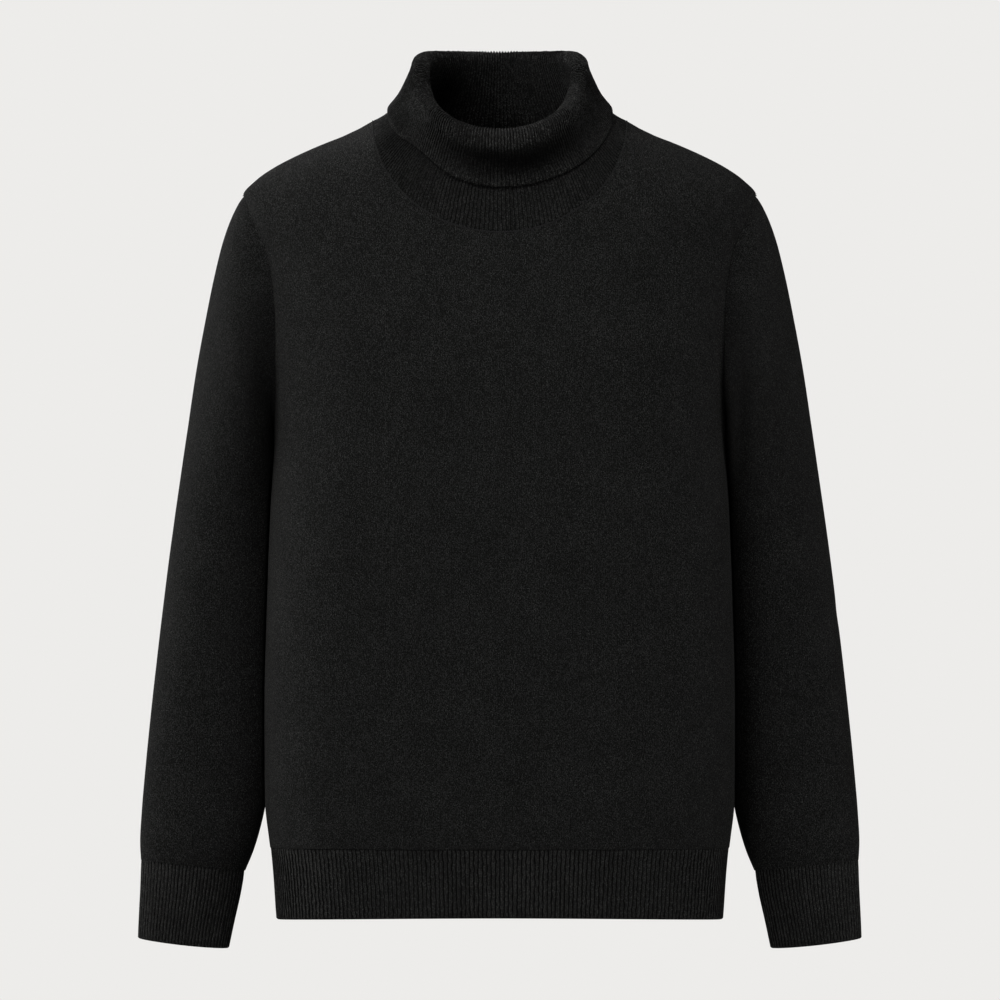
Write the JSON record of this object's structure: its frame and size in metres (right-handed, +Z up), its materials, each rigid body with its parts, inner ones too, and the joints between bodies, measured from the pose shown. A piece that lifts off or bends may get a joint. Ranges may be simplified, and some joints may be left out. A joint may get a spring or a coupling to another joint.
{
  "type": "roll-neck sweater",
  "caption": "Fine wool pullover with set-in sleeves, a folded ribbed roll collar and ribbed hem and cuffs, filled out and hollow as if worn.",
  "frame": {"origin": "midway between the inner ends of the two shoulder seams, level with them, where the sweater is carried on its wearer's shoulders round the base of the neck", "axes": "+Z up, -Y towards the front, +X towards the wearer's left"},
  "size_m": [0.6152, 0.2278, 0.764],
  "materials": {
    "wool_knit": "matt black wool, fine stocking stitch with a short soft nap",
    "wool_rib": "matt black wool, fine rib"
  },
  "bodies": {
    "root": {"front": "wool_knit", "back": "wool_knit", "sleeve_left": "wool_knit", "sleeve_right": "wool_knit", "roll_collar": "wool_rib", "hem_rib_front": "wool_rib", "hem_rib_back": "wool_rib", "cuff_left": "wool_rib", "cuff_right": "wool_rib"}
  },
  "joints": []
}
